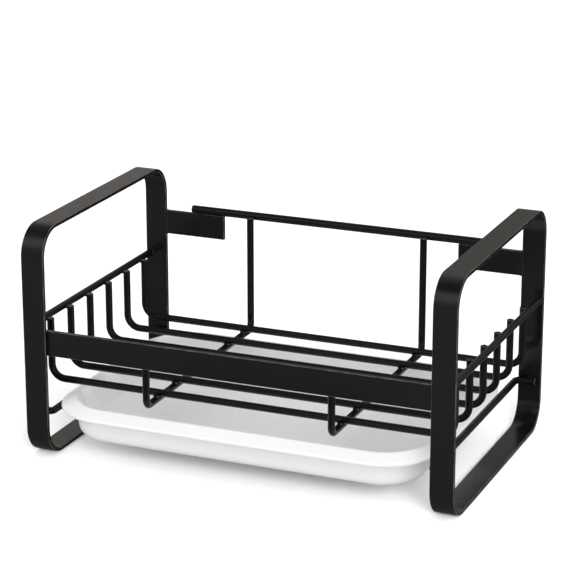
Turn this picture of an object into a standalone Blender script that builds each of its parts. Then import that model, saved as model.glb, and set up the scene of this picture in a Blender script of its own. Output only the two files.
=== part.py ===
"""Sink caddy: two bent strip loops, flat rails, a welded wire basket and a slide-out drip tray.

Metres, +Z up. The origin is the middle of the caddy on the surface that it stands on, and the front faces -Y.
"""
import math

import bmesh
import bpy
from mathutils import Vector

# Overall size of the frame.
LENGTH = 0.223
DEPTH = 0.140
HEIGHT = 0.118

# Left between two pieces that are welded or rest on each other.
GAP = 0.0003

# Flat steel strip of the loops and rails.
STRIP_THICKNESS = 0.002
STRIP_EDGE_RADIUS = 0.0003
LOOP_STRIP_WIDTH = 0.012
LOOP_BEND_RADIUS = 0.015
RAIL_HEIGHT = 0.013
RAIL_END_CLEARANCE = 0.0011
FRONT_RAIL_MIDDLE_Z = 0.0602
BACK_TAB_BEND_CLEARANCE = 0.0105
BACK_TAB_REACH = 0.034

# Round rod on the back tabs.
BACK_ROD_RADIUS = 0.0021
BACK_ROD_LAP = 0.018

# Round wire of the basket and of the tray's carriers.
WIRE_RADIUS = 0.0018
WIRE_TIP_CHAMFER = 0.0003
SIDE_WIRE_Z = 0.0678
SIDE_WIRE_INSET = 0.0003
LONG_WIRE_COUNT = 6
LONG_WIRE_FRONT_MARGIN = 0.0108
LONG_WIRE_BEND_RADIUS = 0.007
LONG_WIRE_TIP_RISE = 0.0004
BASKET_FLOOR_Z = 0.0371
CROSS_WIRE_SPACING = 0.0966
CROSS_WIRE_BEND_RADIUS = 0.0036
CROSS_WIRE_TOP_CLEARANCE = 0.003
TRAY_ROD_BEND_RADIUS = 0.0026
TRAY_ROD_END_INSET = 0.002

# Drip tray.
TRAY_SIDE_CLEARANCE = 0.0006
TRAY_OVERHANG = 0.0087
TRAY_BACK_CLEARANCE = 0.0067
TRAY_CORNER_RADIUS = 0.030
TRAY_WALL = 0.0024
TRAY_TOP_CLEARANCE = 0.0005
TRAY_INNER_DEPTH = 0.0164
TRAY_LIP_WIDTH = 0.0106
TRAY_LIP_SLOPE = math.radians(23)
TRAY_CREST_RADIUS = 0.003
TRAY_WALL_DRAFT = 0.0004
TRAY_FLOOR_RADIUS = 0.0036
TRAY_EDGE_RADIUS = 0.0011
TRAY_ROD_SHOULDER = math.radians(25)

# Fineness of the curves.
STRIP_BEND_STEPS = 10
WIRE_BEND_STEPS = 7
WIRE_SIDES_RESOLUTION = 4
TRAY_CORNER_STEPS = 12
TRAY_PROFILE_STEPS = 5

# Positions that follow from the sizes above. The frame stands back from the origin by half of what the
# tray stands out in front of it, so the origin is the middle of the whole. The tray's outline is drawn at
# its sharp rim, which the rounding of the edge then draws in to the clearances.
FRAME_SET_BACK = TRAY_OVERHANG / 2
LOOP_MIDDLE_X = LENGTH / 2 - LOOP_STRIP_WIDTH / 2
LEG_INNER_X = LENGTH / 2 - LOOP_STRIP_WIDTH
LEG_INNER_Y = DEPTH / 2 - STRIP_THICKNESS
RAIL_MIDDLE_Y = LEG_INNER_Y - GAP - STRIP_THICKNESS / 2
RAIL_INNER_Y = RAIL_MIDDLE_Y - STRIP_THICKNESS / 2
BACK_TAB_Y = DEPTH / 2 - STRIP_THICKNESS / 2
BACK_TAB_OUTER_X = LEG_INNER_X - GAP
BACK_TAB_TOP_Z = HEIGHT - LOOP_BEND_RADIUS - BACK_TAB_BEND_CLEARANCE
BACK_TAB_MIDDLE_Z = BACK_TAB_TOP_Z - RAIL_HEIGHT / 2
BACK_TAB_INNER_X = LEG_INNER_X - BACK_TAB_REACH
BACK_ROD_Z = BACK_TAB_TOP_Z + GAP + BACK_ROD_RADIUS
BACK_ROD_Y = DEPTH / 2 - BACK_ROD_RADIUS
BACK_ROD_END_X = BACK_TAB_INNER_X + BACK_ROD_LAP
WIRE_STEP = 2 * WIRE_RADIUS + GAP
SIDE_WIRE_X = LENGTH / 2 - SIDE_WIRE_INSET - WIRE_RADIUS
RAIL_END_X = SIDE_WIRE_X - WIRE_RADIUS - RAIL_END_CLEARANCE
LONG_WIRE_END_X = SIDE_WIRE_X - WIRE_STEP
LONG_WIRE_TOP_Z = SIDE_WIRE_Z + LONG_WIRE_TIP_RISE
CROSS_WIRE_Z = BASKET_FLOOR_Z - WIRE_STEP
CROSS_WIRE_FRONT_Y = -(RAIL_INNER_Y - GAP - WIRE_RADIUS)
CROSS_WIRE_BACK_Y = BACK_ROD_Y - BACK_ROD_RADIUS - GAP - WIRE_RADIUS
CROSS_WIRE_FRONT_TOP_Z = FRONT_RAIL_MIDDLE_Z + RAIL_HEIGHT / 2 - CROSS_WIRE_TOP_CLEARANCE
CROSS_WIRE_BACK_TOP_Z = BACK_ROD_Z
LONG_WIRE_REACH_Y = -CROSS_WIRE_FRONT_Y - LONG_WIRE_FRONT_MARGIN
TRAY_EDGE_LOSS = TRAY_EDGE_RADIUS * (math.cos(TRAY_LIP_SLOPE) + math.sin(TRAY_LIP_SLOPE) - 1)
TRAY_HALF_LENGTH = LEG_INNER_X - TRAY_SIDE_CLEARANCE + TRAY_EDGE_LOSS
TRAY_FRONT_Y = -DEPTH / 2 - TRAY_OVERHANG - TRAY_EDGE_LOSS
TRAY_BACK_Y = LEG_INNER_Y - TRAY_BACK_CLEARANCE + TRAY_EDGE_LOSS
TRAY_DEPTH = TRAY_BACK_Y - TRAY_FRONT_Y
TRAY_MIDDLE_Y = (TRAY_FRONT_Y + TRAY_BACK_Y) / 2
TRAY_CREST_Z = CROSS_WIRE_Z - WIRE_RADIUS - TRAY_TOP_CLEARANCE
TRAY_CREST_INSET = TRAY_LIP_WIDTH - TRAY_CREST_RADIUS
TRAY_CREST_CENTRE_Z = TRAY_CREST_Z - TRAY_CREST_RADIUS
TRAY_ROD_END_X = LENGTH / 2 - TRAY_ROD_END_INSET
TRAY_ROD_END_Y = LEG_INNER_Y - GAP - WIRE_RADIUS


def clear_scene():
    """Removes every object of the open scene."""
    for item in list(bpy.data.objects):
        bpy.data.objects.remove(item, do_unlink=True)


def make_material(name, colour, roughness, coat):
    """Returns a Principled material with one colour, a roughness and a coat weight."""
    material = bpy.data.materials.new(name)
    material.use_nodes = True
    shader = material.node_tree.nodes["Principled BSDF"]
    shader.inputs["Base Color"].default_value = (*colour, 1.0)
    shader.inputs["Metallic"].default_value = 0.0
    shader.inputs["Roughness"].default_value = roughness
    shader.inputs["Coat Weight"].default_value = coat
    return material


def black_powder_coat(name):
    """Returns the satin black coat of one steel piece."""
    return make_material(name + "_coat", (0.014, 0.013, 0.012), 0.42, 0.1)


def white_moulding(name):
    """Returns the satin white of the moulded tray."""
    return make_material(name + "_white", (0.86, 0.86, 0.85), 0.35, 0.15)


def place(item, location, parent):
    """Links an object to the caddy's collection, moves it and hangs it on its parent."""
    caddy_collection.objects.link(item)
    item.location = location
    item.parent = parent


def rounded_rectangle(half_length, half_width, radius, steps):
    """Returns the 2D points of a rounded rectangle, counter-clockwise from the right side."""
    points = []
    for corner in range(4):
        side_x = 1 if corner in (0, 3) else -1
        side_y = 1 if corner in (0, 1) else -1
        centre_x = side_x * (half_length - radius)
        centre_y = side_y * (half_width - radius)
        for step in range(steps + 1):
            angle = math.pi / 2 * (corner + step / steps)
            points.append((centre_x + radius * math.cos(angle), centre_y + radius * math.sin(angle)))
    return points


def add_closed_spline(curve, points):
    """Adds a closed straight-sided spline through 2D points to a curve."""
    spline = curve.splines.new("POLY")
    spline.points.add(len(points) - 1)
    for point, (x, y) in zip(spline.points, points):
        point.co = (x, y, 0.0, 1.0)
    spline.use_cyclic_u = True


def round_edges(item, radius, segments, angle):
    """Rounds the sharp edges of an object, after closing the seams of a curve's caps."""
    weld = item.modifiers.new("close_seams", "WELD")
    weld.merge_threshold = 0.00001
    bevel = item.modifiers.new("rounded_edges", "BEVEL")
    bevel.width = radius
    bevel.segments = segments
    bevel.limit_method = "ANGLE"
    bevel.angle_limit = angle


def strip_loop(name, x, parent):
    """Makes one end loop: a flat strip bent into an upright rounded rectangle."""
    curve = bpy.data.curves.new(name, "CURVE")
    curve.dimensions = "2D"
    curve.fill_mode = "BOTH"
    curve.extrude = LOOP_STRIP_WIDTH / 2
    outer = rounded_rectangle(DEPTH / 2, HEIGHT / 2, LOOP_BEND_RADIUS, STRIP_BEND_STEPS)
    inner = rounded_rectangle(
        DEPTH / 2 - STRIP_THICKNESS,
        HEIGHT / 2 - STRIP_THICKNESS,
        LOOP_BEND_RADIUS - STRIP_THICKNESS,
        STRIP_BEND_STEPS,
    )
    add_closed_spline(curve, outer)
    add_closed_spline(curve, inner)
    loop = bpy.data.objects.new(name, curve)
    place(loop, (x, 0.0, HEIGHT / 2), parent)
    loop.rotation_euler = (math.pi / 2, 0.0, math.pi / 2)
    round_edges(loop, STRIP_EDGE_RADIUS, 2, math.radians(60))
    loop.data.materials.append(black_powder_coat(name))
    return loop


def flat_bar(name, start_x, end_x, y, z, parent):
    """Makes a straight upright strip along X, with rounded edges."""
    mesh = bpy.data.meshes.new(name)
    bm = bmesh.new()
    bmesh.ops.create_cube(bm, size=1.0)
    bmesh.ops.scale(bm, vec=(abs(end_x - start_x), STRIP_THICKNESS, RAIL_HEIGHT), verts=bm.verts)
    bm.to_mesh(mesh)
    bm.free()
    bar = bpy.data.objects.new(name, mesh)
    place(bar, ((start_x + end_x) / 2, y, z), parent)
    bevel = bar.modifiers.new("rounded_edges", "BEVEL")
    bevel.width = STRIP_EDGE_RADIUS
    bevel.segments = 2
    bar.data.materials.append(black_powder_coat(name))
    return bar


def bent_route(corners, bend_radius):
    """Returns the centreline of a wire with a round bend at each inner corner of a route."""
    corners = [Vector(corner) for corner in corners]
    route = [corners[0]]
    for before, corner, after in zip(corners, corners[1:], corners[2:]):
        inward = (before - corner).normalized()
        outward = (after - corner).normalized()
        turn = math.pi - inward.angle(outward)
        setback = bend_radius * math.tan(turn / 2)
        start = corner + inward * setback
        axis_arm = bend_radius / math.cos(turn / 2)
        centre = corner + (inward + outward).normalized() * axis_arm
        arm = start - centre
        for step in range(WIRE_BEND_STEPS + 1):
            angle = turn * step / WIRE_BEND_STEPS
            route.append(centre + arm * math.cos(angle) - inward * bend_radius * math.sin(angle))
    route.append(corners[-1])
    return route


def wire(name, corners, radius, bend_radius, parent):
    """Makes a round wire through the corners of a route, with lightly chamfered cut ends."""
    route = bent_route(corners, bend_radius)
    origin = sum(route, Vector()) / len(route)
    curve = bpy.data.curves.new(name, "CURVE")
    curve.dimensions = "3D"
    curve.bevel_depth = radius
    curve.bevel_resolution = WIRE_SIDES_RESOLUTION
    curve.use_fill_caps = True
    spline = curve.splines.new("POLY")
    spline.points.add(len(route) - 1)
    for point, position in zip(spline.points, route):
        point.co = (*(position - origin), 1.0)
    spline.use_smooth = True
    item = bpy.data.objects.new(name, curve)
    place(item, origin, parent)
    round_edges(item, WIRE_TIP_CHAMFER, 1, math.radians(60))
    item.data.materials.append(black_powder_coat(name))
    return item


def end_loops(parent):
    """Makes the two loops that are the caddy's feet, legs and handles."""
    strip_loop("left_loop", -LOOP_MIDDLE_X, parent)
    strip_loop("right_loop", LOOP_MIDDLE_X, parent)


def rails(parent):
    """Makes the front rail behind the legs, and the tabs beside the back legs with the rod on them."""
    flat_bar("front_rail", -RAIL_END_X, RAIL_END_X, -RAIL_MIDDLE_Y, FRONT_RAIL_MIDDLE_Z, parent)
    flat_bar("left_back_tab", -BACK_TAB_OUTER_X, -BACK_TAB_INNER_X, BACK_TAB_Y, BACK_TAB_MIDDLE_Z, parent)
    flat_bar("right_back_tab", BACK_TAB_INNER_X, BACK_TAB_OUTER_X, BACK_TAB_Y, BACK_TAB_MIDDLE_Z, parent)
    rod_ends = [(side * BACK_ROD_END_X, BACK_ROD_Y, BACK_ROD_Z) for side in (-1, 1)]
    wire("back_rod", rod_ends, BACK_ROD_RADIUS, 0.0, parent)


def side_wires(parent):
    """Makes the straight wires between each loop's legs, where the long wires' tips end."""
    for name, side in (("left_side_wire", -1), ("right_side_wire", 1)):
        reach = LEG_INNER_Y - GAP
        ends = [(side * SIDE_WIRE_X, -reach, SIDE_WIRE_Z), (side * SIDE_WIRE_X, reach, SIDE_WIRE_Z)]
        wire(name, ends, WIRE_RADIUS, 0.0, parent)


def long_wires(parent):
    """Makes the basket floor: wires along X whose ends turn up to the side wires."""
    for index in range(LONG_WIRE_COUNT):
        y = LONG_WIRE_REACH_Y * (2 * index / (LONG_WIRE_COUNT - 1) - 1)
        corners = [
            (-LONG_WIRE_END_X, y, LONG_WIRE_TOP_Z),
            (-LONG_WIRE_END_X, y, BASKET_FLOOR_Z),
            (LONG_WIRE_END_X, y, BASKET_FLOOR_Z),
            (LONG_WIRE_END_X, y, LONG_WIRE_TOP_Z),
        ]
        wire(f"long_wire_{index + 1}", corners, WIRE_RADIUS, LONG_WIRE_BEND_RADIUS, parent)


def cross_wires(parent):
    """Makes the wires that hang the basket floor on the front rail and on the back rod."""
    for name, side in (("left_cross_wire", -1), ("right_cross_wire", 1)):
        x = side * CROSS_WIRE_SPACING / 2
        corners = [
            (x, CROSS_WIRE_FRONT_Y, CROSS_WIRE_FRONT_TOP_Z),
            (x, CROSS_WIRE_FRONT_Y, CROSS_WIRE_Z),
            (x, CROSS_WIRE_BACK_Y, CROSS_WIRE_Z),
            (x, CROSS_WIRE_BACK_Y, CROSS_WIRE_BACK_TOP_Z),
        ]
        wire(name, corners, WIRE_RADIUS, CROSS_WIRE_BEND_RADIUS, parent)


def lip_height(inset):
    """Returns the height of the lip's sloping upper face at a distance in from the tray's rim."""
    slope_end = TRAY_CREST_INSET - TRAY_CREST_RADIUS * math.sin(TRAY_LIP_SLOPE)
    slope_end_height = TRAY_CREST_CENTRE_Z + TRAY_CREST_RADIUS * math.cos(TRAY_LIP_SLOPE)
    return slope_end_height - (slope_end - inset) * math.tan(TRAY_LIP_SLOPE)


def tray_rod_place():
    """Returns the X and height of a rod whose inner shoulder carries the rim's round lower edge."""
    out_x, out_z = math.cos(TRAY_LIP_SLOPE), -math.sin(TRAY_LIP_SLOPE)
    edge_x = TRAY_HALF_LENGTH + TRAY_WALL * out_z - TRAY_EDGE_RADIUS * (out_x + out_z)
    edge_z = lip_height(0.0) - TRAY_WALL * out_x + TRAY_EDGE_RADIUS * (out_x - out_z)
    reach = TRAY_EDGE_RADIUS + GAP + WIRE_RADIUS
    return edge_x + reach * math.sin(TRAY_ROD_SHOULDER), edge_z - reach * math.cos(TRAY_ROD_SHOULDER)


def tray_rods(parent):
    """Makes the low rods that carry the tray's rim, with ends turned out onto the legs."""
    x, z = tray_rod_place()
    for name, side in (("left_tray_rod", -1), ("right_tray_rod", 1)):
        corners = [
            (side * TRAY_ROD_END_X, -TRAY_ROD_END_Y, z),
            (side * x, -TRAY_ROD_END_Y, z),
            (side * x, TRAY_ROD_END_Y, z),
            (side * TRAY_ROD_END_X, TRAY_ROD_END_Y, z),
        ]
        wire(name, corners, WIRE_RADIUS, TRAY_ROD_BEND_RADIUS, parent)


def tray_profile():
    """Returns the tray's upper surface from the lip's edge to the floor, as (inset, height) pairs."""
    profile = [(0.0, lip_height(0.0))]
    for step in range(TRAY_PROFILE_STEPS + 1):
        turn = (math.pi / 2 + TRAY_LIP_SLOPE) * step / TRAY_PROFILE_STEPS - TRAY_LIP_SLOPE
        inset = TRAY_CREST_INSET + TRAY_CREST_RADIUS * math.sin(turn)
        profile.append((inset, TRAY_CREST_CENTRE_Z + TRAY_CREST_RADIUS * math.cos(turn)))
    fillet_inset = TRAY_LIP_WIDTH + TRAY_WALL_DRAFT + TRAY_FLOOR_RADIUS
    fillet_height = TRAY_CREST_Z - TRAY_INNER_DEPTH + TRAY_FLOOR_RADIUS
    for step in range(TRAY_PROFILE_STEPS + 1):
        turn = math.pi / 2 * step / TRAY_PROFILE_STEPS
        inset = fillet_inset - TRAY_FLOOR_RADIUS * math.cos(turn)
        profile.append((inset, fillet_height - TRAY_FLOOR_RADIUS * math.sin(turn)))
    return profile


def drip_tray(parent):
    """Makes the tray: an upper surface inset ring by ring along its profile, then thickened."""
    mesh = bpy.data.meshes.new("drip_tray")
    bm = bmesh.new()
    outline = rounded_rectangle(TRAY_HALF_LENGTH, TRAY_DEPTH / 2, TRAY_CORNER_RADIUS, TRAY_CORNER_STEPS)
    profile = tray_profile()
    floor = bm.faces.new([bm.verts.new((x, y, 0.0)) for x, y in outline])
    for (inset, height), (next_inset, next_height) in zip(profile, profile[1:]):
        bm.normal_update()
        bmesh.ops.inset_region(
            bm,
            faces=[floor],
            thickness=next_inset - inset,
            depth=next_height - height,
            use_boundary=True,
            use_even_offset=True,
        )
    bm.to_mesh(mesh)
    bm.free()
    tray = bpy.data.objects.new("drip_tray", mesh)
    place(tray, (0.0, TRAY_MIDDLE_Y, lip_height(0.0)), parent)
    shell = tray.modifiers.new("wall", "SOLIDIFY")
    shell.thickness = TRAY_WALL
    shell.offset = -1.0
    shell.use_even_offset = True
    bevel = tray.modifiers.new("rounded_rim", "BEVEL")
    bevel.width = TRAY_EDGE_RADIUS
    bevel.segments = 3
    bevel.limit_method = "ANGLE"
    bevel.angle_limit = math.radians(60)
    mesh.shade_smooth()
    tray.data.materials.append(white_moulding("drip_tray"))
    return tray


def build_caddy():
    """Builds the welded frame on one empty and the tray on the empty that slides it out."""
    frame = bpy.data.objects.new("frame_origin", None)
    caddy_collection.objects.link(frame)
    frame.location.y = FRAME_SET_BACK
    tray_slide = bpy.data.objects.new("tray_slide", None)
    caddy_collection.objects.link(tray_slide)
    tray_slide.parent = frame
    end_loops(frame)
    rails(frame)
    side_wires(frame)
    long_wires(frame)
    cross_wires(frame)
    tray_rods(frame)
    drip_tray(tray_slide)


clear_scene()
caddy_collection = bpy.data.collections.new("sink_caddy")
bpy.context.scene.collection.children.link(caddy_collection)
build_caddy()
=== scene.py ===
"""Sink caddy, dressed: powder-coated strip and wire, their welds and a moulded drip tray.

Every piece is in metres, +Z up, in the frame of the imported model, and rides on one of its bodies.
"""
import logging
import math
import random
from collections.abc import Callable, Iterator, Sequence
from dataclasses import dataclass
from enum import Enum
from typing import NamedTuple

import bmesh
import bpy
from bmesh.types import BMVert
from bpy.types import Material, Node, NodeOutputs, NodeSocket, NodeTree, Object
from mathutils import Matrix, Vector


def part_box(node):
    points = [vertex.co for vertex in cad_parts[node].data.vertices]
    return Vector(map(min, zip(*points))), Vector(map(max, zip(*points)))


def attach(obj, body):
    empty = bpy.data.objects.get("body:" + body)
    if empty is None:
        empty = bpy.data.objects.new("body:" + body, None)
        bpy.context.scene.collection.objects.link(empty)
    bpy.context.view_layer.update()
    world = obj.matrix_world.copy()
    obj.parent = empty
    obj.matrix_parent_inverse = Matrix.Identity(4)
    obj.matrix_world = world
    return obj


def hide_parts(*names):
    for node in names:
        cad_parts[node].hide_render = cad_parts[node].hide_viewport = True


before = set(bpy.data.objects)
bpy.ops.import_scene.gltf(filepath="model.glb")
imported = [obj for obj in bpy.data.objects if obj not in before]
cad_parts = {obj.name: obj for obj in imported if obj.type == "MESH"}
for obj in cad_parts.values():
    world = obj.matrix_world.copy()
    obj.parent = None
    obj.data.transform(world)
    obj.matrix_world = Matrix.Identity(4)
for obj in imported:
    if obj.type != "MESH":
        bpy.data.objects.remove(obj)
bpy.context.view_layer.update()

LOG = logging.getLogger("sink_caddy")
EDGE_LAYER = "edge_line"
QUARTER = math.pi / 2
X_AXIS, Y_AXIS, Z_AXIS = Vector((1, 0, 0)), Vector((0, 1, 0)), Vector((0, 0, 1))
WELD_GAP = 0.0003
STRIP_EDGE = 0.0004
LONG_WIRES = tuple(f"long_wire_{index}" for index in range(1, 7))

Pair = tuple[float, float]
Triple = tuple[float, float, float]
Rings = list[list[Vector]]
Route = list[tuple[Vector, Vector]]
Sockets = tuple[NodeSocket, ...]


class Side(Enum):
    """The two ends of the caddy, with the sign of their X."""

    LEFT = -1
    RIGHT = 1

    def named(self, rest: str) -> str:
        """Returns the name of this side's piece or node."""
        return f"{self.name.lower()}_{rest}"


class Body(Enum):
    """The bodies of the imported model."""

    FRAME = "frame"
    TRAY = "tray"


class Slot(Enum):
    """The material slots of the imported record."""

    BLACK_COAT = "black_coat"
    TRAY_WHITE = "tray_white"


# Node graphs


class Ramp(NamedTuple):
    """A smooth change between two readings, with what it gives at each of them."""

    low: float
    high: float
    to_low: float = 0.0
    to_high: float = 1.0


class Graph:
    """A node tree with the coordinates that its textures read, and short ways to add nodes to it."""

    tree: NodeTree
    place: NodeSocket

    def feed(self, socket: NodeSocket, value: object) -> None:
        """Links a socket into an input, or sets the input to a plain value.

        Args:
            socket: the input.
            value: what it takes.
        """
        if isinstance(value, NodeSocket):
            self.tree.links.new(value, socket)
        else:
            socket.default_value = (*value, 1.0) if socket.type == "RGBA" else value

    def add(self, kind: str, inputs: dict | None = None, **settings: object) -> Node:
        """Adds a shader node.

        Args:
            kind: its type, without the leading ShaderNode.
            inputs: values or sockets for its inputs, by name or index.
            settings: its own properties.

        Returns:
            The node.
        """
        node = self.tree.nodes.new("ShaderNode" + kind)
        for key, value in settings.items():
            setattr(node, key, value)
        for key, value in (inputs or {}).items():
            self.feed(node.inputs[key], value)
        return node

    def math(self, operation: str, *values: object, clamp: bool = False) -> NodeSocket:
        """Adds a Math node on one to three values and returns its result."""
        inputs = dict(enumerate(values))
        return self.add("Math", inputs, operation=operation, use_clamp=clamp).outputs[0]

    def spread(self, value: NodeSocket, ramp: Ramp) -> NodeSocket:
        """Passes a number through a ramp and returns the result."""
        inputs = dict(enumerate((value, *ramp)))
        return self.add("MapRange", inputs, interpolation_type="SMOOTHSTEP").outputs[0]

    def fade(self, factor: NodeSocket, first: NodeSocket, second: NodeSocket) -> NodeSocket:
        """Mixes two numbers and returns the mixed one."""
        return self.add("Mix", {0: factor, 2: first, 3: second}, data_type="FLOAT").outputs[0]

    def mix(self, factor: NodeSocket, first: object, second: object) -> NodeSocket:
        """Mixes two colours and returns the mixed one."""
        return self.add("Mix", {0: factor, 6: first, 7: second}, data_type="RGBA").outputs[2]

    def noise(self, size: NodeSocket, detail: float = 2.0, warp: float = 0.0) -> NodeSocket:
        """Adds noise with features of a size in metres and returns it."""
        inputs = {"Scale": self.math("DIVIDE", 1.0, size), "Detail": detail, "Distortion": warp}
        return self.add("TexNoise", {"Vector": self.place} | inputs).outputs[0]


class Effect(Graph):
    """A shader node group that several finishes place with their own values.

    It reads a place in metres and the numbers that it names, and puts out numbers.
    """

    name = "effect"
    numbers: tuple[str, ...] = ()
    outputs: tuple[str, ...] = ("Mask",)

    def __init__(self) -> None:
        """Finds the group, or builds it on the first call."""
        self.tree = bpy.data.node_groups.get(self.name)
        if self.tree is None:
            self.tree = bpy.data.node_groups.new(self.name, "ShaderNodeTree")
            sockets = [("INPUT", "Vector", "Place")]
            sockets += [("INPUT", "Float", label) for label in self.numbers]
            sockets += [("OUTPUT", "Float", label) for label in self.outputs]
            for way, kind, label in sockets:
                self.tree.interface.new_socket(name=label, in_out=way, socket_type="NodeSocket" + kind)
            self.given = self.tree.nodes.new("NodeGroupInput").outputs
            self.place = self.given["Place"]
            sinks = self.tree.nodes.new("NodeGroupOutput").inputs
            for label, value in zip(self.outputs, self.wire_up()):
                self.feed(sinks[label], value)

    def wire_up(self) -> Sockets:
        """Builds the group's inside and returns the sockets that feed its outputs, in their order."""
        raise NotImplementedError


class OrangePeel(Effect):
    """Fine grain on a slow ripple, as a sprayed or moulded skin has it."""

    name = "orange_peel"
    numbers = ("Grain Size", "Ripple Size", "Grain Share")
    outputs = ("Height",)

    def wire_up(self) -> Sockets:
        """Adds grain and ripple up to one height and returns it."""
        grain = self.math("MULTIPLY", self.noise(self.given["Grain Size"]), self.given["Grain Share"])
        return (self.math("ADD", grain, self.noise(self.given["Ripple Size"], detail=1.0)),)


class HandledPatches(Effect):
    """Soft uneven patches, where a surface has been handled or wiped, and a wide drift of tone."""

    name = "handled_patches"
    numbers = ("Patch Size",)
    outputs = ("Mask", "Tone")
    patch = Ramp(0.38, 0.66)
    tone_scale = 2.7

    def wire_up(self) -> Sockets:
        """Draws both from warped noise.

        Returns:
            The patches' mask and the tone.
        """
        raw = self.noise(self.given["Patch Size"], detail=3.0, warp=0.8)
        wide = self.math("MULTIPLY", self.given["Patch Size"], self.tone_scale)
        return self.spread(raw, self.patch), self.noise(wide, warp=0.3)


class EdgeWearAndHighlight(Effect):
    """The line along the rounded edges, partly rubbed wear and partly a painted highlight, read from the
    pieces' own edge attribute.
    """

    name = "rubbed_edge_line"
    numbers = ("Break Size",)
    breaks = Ramp(0.35, 0.65, 0.35)

    def wire_up(self) -> Sockets:
        """Breaks the edge attribute up with noise.

        Returns:
            The line's mask.
        """
        line = self.add("Attribute", attribute_name=EDGE_LAYER).outputs["Fac"]
        broken = self.spread(self.noise(self.given["Break Size"], detail=3.0), self.breaks)
        return (self.math("MULTIPLY", line, broken, clamp=True),)


class UpwardFilmAndSheen(Effect):
    """A thin dry film that settles on surfaces which face up, with a painted sheen that lightens those faces
    as light from above does.
    """

    name = "upward_film"
    numbers = ("Patch Size",)
    facing = Ramp(0.35, 1.0)
    unevenness = Ramp(0.3, 0.7, 0.6)

    def wire_up(self) -> Sockets:
        """Takes the upward part of the normal and makes it uneven.

        Returns:
            The mask of the film and its painted sheen.
        """
        rise = self.add("SeparateXYZ", {0: self.add("NewGeometry").outputs["Normal"]}).outputs["Z"]
        uneven = self.spread(self.noise(self.given["Patch Size"], detail=4.0, warp=0.4), self.unevenness)
        return (self.math("MULTIPLY", self.spread(rise, self.facing), uneven, clamp=True),)


class Hairlines(Effect):
    """Fine long marks of wiping, in two directions."""

    name = "hairline_marks"
    numbers = ("Line Width", "Line Length")
    turns = (0.45, -1.05)
    crest = Ramp(0.66, 0.74)

    def wire_up(self) -> Sockets:
        """Stretches noise along two slanted directions and keeps its thin crests.

        Returns:
            The marks' mask.
        """
        across, along = (self.math("DIVIDE", 1.0, self.given[label]) for label in self.numbers)
        stretch = self.add("CombineXYZ", {"X": along, "Y": across, "Z": across}).outputs[0]
        crests = []
        for turn in self.turns:
            inputs = {"Vector": self.place, "Angle": turn}
            turned = self.add("VectorRotate", inputs, rotation_type="Z_AXIS").outputs[0]
            scaled = self.add("VectorMath", {0: turned, 1: stretch}, operation="MULTIPLY").outputs[0]
            fine = self.add("TexNoise", {"Vector": scaled, "Scale": 1.0, "Detail": 1.0}).outputs[0]
            crests.append(self.spread(fine, self.crest))
        return (self.math("MAXIMUM", *crests),)


# Finishes


class Layers(Graph):
    """A material in the making, with its coordinates, its patches, and its colour and gloss so far."""

    roughness: NodeSocket

    def __init__(self, finish: "Finish") -> None:
        """Starts the material, with coordinates that differ from piece to piece.

        Args:
            finish: the finish that it is made for.
        """
        self.made = bpy.data.materials.new(finish.name)
        self.made.use_nodes = True
        self.tree = self.made.node_tree
        own = self.add("TexCoord").outputs["Object"]
        shift = self.math("MULTIPLY", self.add("ObjectInfo").outputs["Random"], finish.pattern_shift)
        self.place = self.add("VectorMath", {0: own, 1: shift}, operation="ADD").outputs[0]
        self.patches = self.put(HandledPatches, finish.patch_size)
        self.colour = self.mix(self.patches["Tone"], finish.low_colour, finish.high_colour)

    def put(self, effect: type[Effect], *numbers: float) -> NodeOutputs:
        """Places an effect with its numbers, in their order, and returns its outputs."""
        inputs = dict(enumerate((self.place, *numbers)))
        return self.add("Group", inputs, node_tree=effect().tree).outputs

    def lay(self, mask: NodeSocket, share: float, tint: Triple) -> None:
        """Lays a tint over the colour, by a share of a mask."""
        self.colour = self.mix(self.math("MULTIPLY", mask, share), self.colour, tint)


@dataclass(frozen=True)
class Finish:
    """What every finish has: a colour that drifts between two in wide patches, and how glossy it is."""

    name: str = "finish"
    low_colour: Triple = (0.5, 0.5, 0.5)
    high_colour: Triple = (0.5, 0.5, 0.5)
    specular: float = 0.5
    patch_size: float = 0.01
    pattern_shift: float = 1.7

    def dress(self, layers: Layers) -> dict[str, object]:
        """Adds the finish's layers and returns what the shader takes, by name."""
        raise NotImplementedError

    def material(self) -> Material:
        """Dresses a new material.

        Returns:
            The material.
        """
        layers = Layers(self)
        shader = layers.tree.nodes["Principled BSDF"]
        for label, value in ({"Specular IOR Level": self.specular} | self.dress(layers)).items():
            layers.feed(shader.inputs[label], value)
        return layers.made


@dataclass(frozen=True)
class Skin(Finish):
    """A sprayed or moulded skin with uneven gloss, orange peel and marked edges: rubbed wear, and on the coat
    a painted highlight as well.
    """

    smooth_roughness: float = 0.20
    rough_roughness: float = 0.26
    grain_size: float = 0.00045
    ripple_size: float = 0.0019
    grain_share: float = 0.45
    peel_depth: float = 0.000016
    edge_share: float = 0.75
    edge_break: float = 0.35

    def dress(self, layers: Layers) -> dict[str, object]:
        """Gives the skin its gloss, its peel and its wear.

        Args:
            layers: the material in the making.

        Returns:
            What the shader takes, by name.
        """
        peel = layers.put(OrangePeel, self.grain_size, self.ripple_size, self.grain_share)["Height"]
        bump = layers.add("Bump", {"Height": peel, "Strength": 1.0, "Distance": self.peel_depth})
        gloss = Ramp(0.0, 1.0, self.smooth_roughness, self.rough_roughness)
        layers.roughness = layers.spread(layers.patches["Mask"], gloss)
        self.wear(layers, layers.put(EdgeWearAndHighlight, self.patch_size * self.edge_break)["Mask"])
        looks = {"Base Color": layers.colour, "Roughness": layers.roughness}
        return looks | {"Normal": bump.outputs["Normal"]}

    def wear(self, layers: Layers, edge: NodeSocket) -> None:
        """Lays the skin's wear, and on the coat its painted highlight and sheen, with the mask of its edges,
        over its colour and its gloss.
        """
        raise NotImplementedError


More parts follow.
